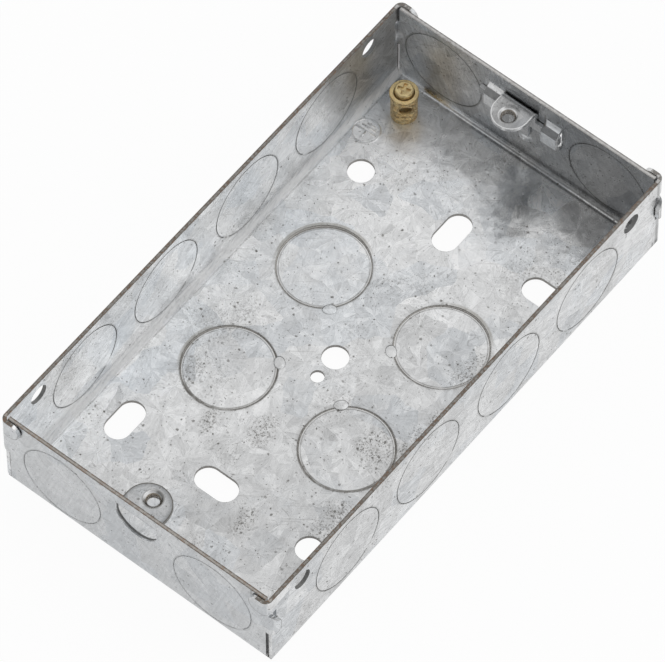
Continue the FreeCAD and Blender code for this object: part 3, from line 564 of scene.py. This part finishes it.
    def rim(self):
        """The rim: a pale band between two brown burrs, darkest at the near end."""
        rim = self.rise(self.z, HEIGHT - 0.1, HEIGHT - 0.02) * self.rise(self.nz, 0.5, 0.8)
        deepness = self.least(HALF_X - self.wide, HALF_Y - self.broad)
        grainy = self.noise(self.space, 1.4, 4.0, 0.75)
        far_end = self.rise(self.x, 64.6, 64.9)
        near_end = self.rise(self.x, -64.9, -65.0)
        outer_burr = self.rise(deepness, 0.16, 0.32, 1.0, 0.0)
        inner_burr = self.rise(deepness, SHEET - 0.34, SHEET - 0.16)
        edge_band = self.most(outer_burr * (1.0 - far_end * 0.2), inner_burr * (1.0 - far_end * 0.6))
        brown = self.mix(self.rise(grainy, 0.46, 0.62) * (1.0 - far_end * 0.7), GRIME_AND_SHADE, RUST)
        band = self.mix(self.rise(grainy, 0.46, 0.58) * (0.85 - near_end * 0.45), RIM_PALE, brown)
        # The side rims' band darker and the far rim's paler than the rest: partly dirt, partly painted reflection
        band = self.tint(band, 1.0 - (1.0 - self.most(far_end, near_end)) * 0.35)
        band = self.mix(far_end * 0.55, band, ZINC)
        band = self.mix(edge_band * self.rise(grainy, 0.30, 0.48), band, brown)
        self.lay(rim * 0.96, band)
        beside = self.rise(self.z, HEIGHT - 1.1, HEIGHT - 0.2) * (1.0 - rim) * self.rise(grainy, 0.5, 0.66)
        self.lay(beside * 0.25, RUST)
        self.rough = self.rough + rim * 0.2 + self.raw * 0.2
        self.raw = self.most(self.most(self.raw, self.most(self.side_bend * 1.15, self.fleck * 0.5)),
                             self.most(rim * 0.45, self.keeper * 1.15))

    def tapped_lug(self):
        """A lug's tapped hole, with painted shade of a soft flare and a painted highlight on it, brown threads,
        painted shade on the tongue, and a line at the tongue's edge: dark on the fixed lug, a painted highlight on
        the sliding one.
        """
        is_box = self.is_box
        hole_x = self.wide - FIXING_X
        hole_y = self.y if is_box else self.y - SLID_BY
        hole = self.length(hole_x, hole_y)
        past_wall = hole - THREAD_RADIUS
        on_lug = (self.rise(self.z, LUG_BOTTOM - 0.1, LUG_BOTTOM + 0.1)
                  * self.rise(self.z, LUG_TOP + 0.3, LUG_TOP + 0.2) * self.rise(past_wall, 6.0, 5.5))
        on_tongue = on_lug * self.flat
        tip_x = self.most(TIP_CENTRES[is_box] - self.wide, 0.0)
        from_edge = self.length(tip_x, hole_y) - TIP_RADII[is_box]
        # Painted shade: the tongues darker than the base, and the fixed lug's darker still towards its edge, as the
        # shade of their dish
        if is_box:
            self.shade(on_tongue * 0.24 + on_tongue * self.rise(from_edge, -1.3, -0.1) * 0.3)
        else:
            self.shade(on_tongue * 0.42)
        # Painted shade of a soft flare round the hole
        flare = self.rise(past_wall, 0.0, 0.4) * self.rise(past_wall, 1.1, 0.6)
        self.lay(on_lug * flare * (0.75 if is_box else 0.15), GRIME_AND_SHADE)
        # Painted highlight on the flare's +Y side
        gleam = (self.rise((hole_y - hole_x * 0.3) / hole, 0.35, 0.95) * self.rise(past_wall, 0.0, 0.2)
                 * self.rise(past_wall, 0.9, 0.6))
        self.lay(on_lug * gleam * 0.85, ZINC_PALE)
        if not is_box:
            # Painted highlight on a lip round the hole, and a dark outline at its edge
            lip = self.rise(past_wall, 0.15, 0.25) * self.rise(past_wall, 0.5, 0.35) * on_tongue
            self.lay(lip * 0.7, ZINC_PALE)
            outline = self.rise(past_wall, -0.04, 0.02) * self.rise(past_wall, 0.22, 0.14) * on_tongue
            self.lay(outline * 0.85, GRIME_AND_SHADE)
        in_hole = self.rise(past_wall, 0.22, 0.1) * on_lug
        self.lay(in_hole * (0.8 if is_box else 0.45), THREAD)
        # A line at the tongue's edge: dark on the fixed lug, and a painted highlight on the sliding one
        edge_band = self.rise(from_edge, -0.34, -0.12)
        self.lay(on_lug * edge_band * 0.9, GRIME_AND_SHADE if is_box else ZINC_PALE)
        self.dish = on_tongue * (self.rise(past_wall, 0.4, 1.4, 0.3, 0.0)
                                 + self.rise(from_edge, -1.2, -0.1, 0.0, 0.4))

    def surface(self):
        """The last grime and painted shade in the crevices, the relief of the crystals, pits and dents, and the
        shader.
        """
        # Grime and painted shade in the crevices, from their ambient occlusion
        self.lay(self.deep * 0.5, GRIME_AND_SHADE)
        height = (self.lines * 0.3 + self.own * 0.5 + self.blade * 0.3
                  + self.noise(self.space, 3.0, 2.0) * 0.25 - self.spots * 1.2 - self.marks)
        relief = self.bump(0.12, 0.0002, height, self.bevel(self.keeper * 0.00035 + 0.00016))
        wave = self.noise(self.vector(self.u, self.v), 0.12, 2.0) + self.dish
        metallic = 1.0 - self.most(self.spots * 0.5, self.raw * 0.75)
        self.metal(self.colour, metallic, self.rough, self.bump(0.3, 0.001, wave, relief))


def brass(name, tone):
    """Turned brass, mottled with grime, and paler on top, partly from wear and partly as painted light."""
    g = Graph(name)
    x, y, z = g.place()
    space = g.vector(x, y, z)
    lathe = g.noise(g.vector(g.length(x - POST.x, y - POST.y) * 2.0, z * 9.0), 1.0, 2.0)
    wear = g.noise(space, 0.9, 4.0, 0.65)
    fine = g.noise(space, 3.5, 3.0, 0.7)
    flecks = g.noise(space, 2.2, 4.0, 0.8)
    top = g.rise(g.normal()[2], 0.6, 0.9)
    colour = g.mix(g.rise(wear, 0.42, 0.58), BRASS, BRASS_PALE)
    # Paler on top: partly wear, partly painted light
    colour = g.mix(g.most(top * 0.7, g.rise(flecks, 0.56, 0.62) * 0.8), colour, BRASS_PALE)
    colour = g.tint(colour, tone)
    low = g.rise(z, 4.5, 0.8)
    blots = g.rise(g.noise(space, 1.1, 3.0, 0.75, 0.8), 0.50, 0.55)
    mottle = g.most(g.rise(fine + wear, 1.0, 1.14) * (1.0 - top * 0.8), blots * (0.95 - top * 0.5))
    grime = g.most(mottle, low * 0.2)
    colour = g.mix(grime * 0.8, colour, BRASS_GRIME)
    colour = g.tint(colour, g.rise(lathe, 0.35, 0.65, 0.92, 1.05))
    relief = g.bump(0.5 - top * 0.3, 0.0002, fine + flecks * 1.4 + lathe * 0.4, g.bevel(0.00018))
    return g.metal(colour, 0.75 - top * 0.35, 0.2 + grime * 0.35, relief)


box_zinc = Zinc("zinc_box", True, 0.0).material
lug_zinc = Zinc("zinc_lug", False, 57.0).material

for node, material in (("box_body", box_zinc), ("adjustable_lug", lug_zinc),
                       ("earth_terminal", brass("brass_post", 1.08)),
                       ("terminal_screw", brass("brass_screw", 1.05))):
    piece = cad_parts[node]
    piece.data.materials.clear()
    piece.data.materials.append(material)


def add_piece(name, form, material, body):
    """Make a piece of a bmesh, smooth, with its material and body."""
    bmesh.ops.recalc_face_normals(form, faces=form.faces)
    mesh = bpy.data.meshes.new(name)
    form.to_mesh(mesh)
    form.free()
    piece = bpy.data.objects.new(name, mesh)
    bpy.context.collection.objects.link(piece)
    mesh.materials.append(material)
    for polygon in mesh.polygons:
        polygon.use_smooth = True
    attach(piece, body)


def skin(form, sections, ring=False, loop=False):
    """Join neighbouring sections with quads. ring closes each section, and loop joins the last to the first."""
    pairs = list(zip(sections, sections[1:]))
    if loop:
        pairs.append((sections[-1], sections[0]))
    for a, b in pairs:
        for k in range(len(a) if ring else len(a) - 1):
            after = (k + 1) % len(a)
            form.faces.new((a[k], b[k], b[after], a[after]))


def circle(steps):
    """Cosine and sine of each step's angle, once round."""
    for k in range(steps):
        angle = 2 * math.pi * k / steps
        yield math.cos(angle), math.sin(angle)


def thread(centre, bottom):
    """A helical ridge standing in from a tapped hole's wall."""
    steps = 40
    form = bmesh.new()
    count = int((THREAD_TOP - bottom) / THREAD_PITCH * steps)
    half = THREAD_PITCH * THREAD_HALF
    rings = []
    for k in range(count + 1):
        angle = 2 * math.pi * k / steps
        level = bottom + THREAD_PITCH * k / steps
        ring = []
        for inset, rise in ((-THREAD_BACK, -half), (THREAD_DEPTH, 0.0), (-THREAD_BACK, half)):
            r = THREAD_RADIUS - inset
            place = Vector((r * math.cos(angle), r * math.sin(angle), level + rise)) + centre
            ring.append(form.verts.new(place * MM))
        rings.append(ring)
    skin(form, rings, ring=True)
    form.faces.new(rings[0])
    form.faces.new(rings[-1][::-1])
    return form


add_piece("fixed_lug_thread", thread(Vector((-FIXING_X, 0, 0)), FIXED_THREAD_BOTTOM),
          lug_zinc, "box")
add_piece("sliding_lug_thread", thread(Vector((FIXING_X, SLID_BY, 0)), SLIDING_THREAD_BOTTOM),
          lug_zinc, "sliding_lug")


def earth_sign():
    """Low ridges with narrower tops: the ring, the bars across it and the stem."""
    form = bmesh.new()
    half = SIGN_LINE / 2
    profile = ((-half, 0.0), (-half * 0.4, SIGN_RISE), (half * 0.4, SIGN_RISE), (half, 0.0))
    skin(form, [[form.verts.new((SIGN_CENTRE + Vector(((SIGN_RADIUS + out) * c, (SIGN_RADIUS + out) * s, rise)))
                                * MM) for out, rise in profile] for c, s in circle(64)], loop=True)
    bars = [(math.pi / 2, -reach, reach, offset) for offset, reach in SIGN_BARS]
    for turn, start, end, offset in bars + [(0.0, -SIGN_STEM, 0.0, 0.0)]:
        c, s = math.cos(turn), math.sin(turn)
        ends = [[form.verts.new((SIGN_CENTRE + Vector((
            t * c - (offset + side) * s, t * s + (offset + side) * c, rise))) * MM)
            for side, rise in profile] for t in (start, end)]
        skin(form, ends)
        form.faces.new(ends[0])
        form.faces.new(ends[1][::-1])
    return form


add_piece("earth_sign", earth_sign(), box_zinc, "box")


def knockout_beads():
    """Rings sunk in the knockouts' cuts, which are seen as sheared edges and not as open gaps."""
    form = bmesh.new()
    rings = []
    for sign_x, sign_y in QUARTERS:
        base = Vector((BASE_KNOCKOUT_X * sign_x, BASE_KNOCKOUT_Y * sign_y, 0.0))
        rings.append((base, Vector((0, 0, 1)), SHEET, Vector((sign_x, sign_y, 0)).normalized()))
        for along in SIDE_KNOCKOUTS:
            rings.append((Vector((along * sign_x, 0.0, SIDE_KNOCKOUT_Z)), Vector((0, sign_y, 0)), HALF_Y, None))
        across, rise = (FAR_KNOCKOUT_Y, FAR_KNOCKOUT_Z) if sign_x > 0 else (NEAR_KNOCKOUT_Y, NEAR_KNOCKOUT_Z)
        rings.append((Vector((0.0, across * sign_y, rise)), Vector((sign_x, 0, 0)), HALF_X, None))
    inner, outer = KNOCKOUT_RADIUS - KNOCKOUT_CUT - BEAD_LAP, KNOCKOUT_RADIUS + BEAD_LAP
    for middle, axis, face, lowest in rings:
        side = axis.orthogonal().normalized()
        other = axis.cross(side)
        back, front = face - SHEET + BEAD_DEPTH, face - BEAD_DEPTH
        loops = []
        for c, s in circle(90):
            spoke = side * c + other * s
            # A disc of the base is sunk and tilted, and its ring slopes down to it
            sunk = BEAD_DEPTH if lowest is None else DISC_SINK + DISC_DROP * spoke.dot(lowest)
            loops.append([form.verts.new((middle + spoke * radius + axis * level) * MM) for radius, level in (
                (inner, back), (outer, back), (outer, front), (inner, face - sunk))])
        skin(form, loops, ring=True, loop=True)
    return form


add_piece("knockout_beads", knockout_beads(), box_zinc, "box")


def tie_bumps():
    """Low oval bumps where the four knockouts of the base stay tied to it."""
    form = bmesh.new()
    levels = 6
    for sign_x, sign_y in QUARTERS:
        inward = Vector((-sign_x, -sign_y, 0)).normalized() * TIE_ACROSS
        beside = Vector((sign_y, -sign_x, 0)).normalized() * TIE_ALONG
        middle = Vector((TIE_X * sign_x, TIE_Y * sign_y, SHEET))
        peak = form.verts.new((middle + Vector((0, 0, TIE_RISE))) * MM)
        rings = []
        for level in range(1, levels + 2):
            share = min(level / levels, 1.0)
            rise = TIE_RISE * (1 - share ** 2) ** 1.5 if level <= levels else -SHEET / 4
            rings.append([form.verts.new((middle + (inward * c + beside * s) * share + Vector((0, 0, rise))) * MM)
                          for c, s in circle(28)])
        for k, point in enumerate(rings[0]):
            form.faces.new((peak, point, rings[0][(k + 1) % len(rings[0])]))
        skin(form, rings, ring=True)
        form.faces.new(rings[-1][::-1])
    return form


add_piece("knockout_ties", tie_bumps(), box_zinc, "box")


def floor_material():
    """White to the camera and half as bright in reflections, with the object's shadow kept."""
    g = Graph("studio_floor")
    rays = g.node("LightPath")
    mirrored = g.most(g.wire(rays, "Is Glossy Ray"), g.wire(rays, "Is Transmission Ray"))
    seen = g.most(g.wire(rays, "Is Camera Ray") * 0.95, mirrored * 0.5)
    grain = g.noise(g.wire(g.node("TexCoord"), "Object"), 90.0, 3.0)
    paper = g.node("BsdfDiffuse", {"Color": g.mix(grain * 0.04, PAPER, PAPER_GREY)})
    glow = g.node("Emission", {"Color": WHITE, "Strength": 1.0})
    return g.finish(g.node("MixShader", {0: seen, 1: g.wire(paper), 2: g.wire(glow)}))


floor_mesh = bpy.data.meshes.new("floor")
corners = [(FLOOR_HALF * a, FLOOR_HALF * b, FLOOR_LEVEL) for a, b in ((-1, -1), (1, -1), (1, 1), (-1, 1))]
floor_mesh.from_pydata(corners, [], [(0, 1, 2, 3)])
floor_mesh.materials.append(floor_material())
floor = bpy.data.objects.new("floor", floor_mesh)
bpy.context.collection.objects.link(floor)

# World: bright low down all round and high up on the far side, dim high up on the near side
world = bpy.data.worlds.new("studio")
bpy.context.scene.world = world
world.use_nodes = True
nodes, links = world.node_tree.nodes, world.node_tree.links
background = nodes["Background"]
background.inputs["Color"].default_value = WHITE
direction = nodes.new("ShaderNodeTexCoord")
split = nodes.new("ShaderNodeSeparateXYZ")
links.new(direction.outputs["Generated"], split.inputs[0])


def fade(value, limits, start):
    """A smooth step of value between limits, from start to what is set or linked as To Max."""
    step = nodes.new("ShaderNodeMapRange")
    step.interpolation_type = "SMOOTHSTEP"
    links.new(value, step.inputs["Value"])
    for key, level in (("From Min", limits[0]), ("From Max", limits[1]), ("To Min", start)):
        step.inputs[key].default_value = level
    return step


overhead = fade(split.outputs["X"], NEAR_TO_FAR, NEAR_LEVEL)
overhead.inputs["To Max"].default_value = FAR_LEVEL
all_round = fade(split.outputs["Z"], LOW_TO_HIGH, LOW_LEVEL)
links.new(overhead.outputs["Result"], all_round.inputs["To Max"])
links.new(all_round.outputs["Result"], background.inputs["Strength"])

# One rectangular lamp high over the far right, aimed at the box, which looks evenly bright in reflections
lamp = bpy.data.lights.new("softbox_side", "AREA")
lamp.shape = "RECTANGLE"
lamp.size, lamp.size_y = SOFTBOX_SIZE
lamp.energy = SOFTBOX_RADIANCE * math.pi * SOFTBOX_SIZE[0] * SOFTBOX_SIZE[1]
softbox = bpy.data.objects.new("softbox_side", lamp)
bpy.context.collection.objects.link(softbox)
softbox.location = SOFTBOX_PLACE
softbox.rotation_euler = Vector(SOFTBOX_PLACE).to_track_quat("Z", "Y").to_euler()

# Camera
angle, lift, roll = math.radians(AZIMUTH), math.radians(ELEVATION), math.radians(ROLL)
from_target = Vector((math.cos(lift) * math.sin(angle), -math.cos(lift) * math.cos(angle), math.sin(lift)))
right = Vector((0, 0, 1)).cross(from_target).normalized()
up = from_target.cross(right)
rolled_right = right * math.cos(roll) + up * math.sin(roll)
rolled_up = up * math.cos(roll) - right * math.sin(roll)
camera_data = bpy.data.cameras.new("camera")
camera_data.sensor_fit = "HORIZONTAL"
camera_data.sensor_width = SENSOR
camera_data.lens = FOCAL_LENGTH
camera_data.clip_end = 20.0
camera = bpy.data.objects.new("camera", camera_data)
bpy.context.collection.objects.link(camera)
camera.matrix_world = Matrix.Translation((TARGET + from_target * DISTANCE) * MM) @ Matrix(
    (rolled_right, rolled_up, from_target)).transposed().to_4x4()
bpy.context.scene.camera = camera
bpy.context.scene.view_settings.view_transform = "Standard"
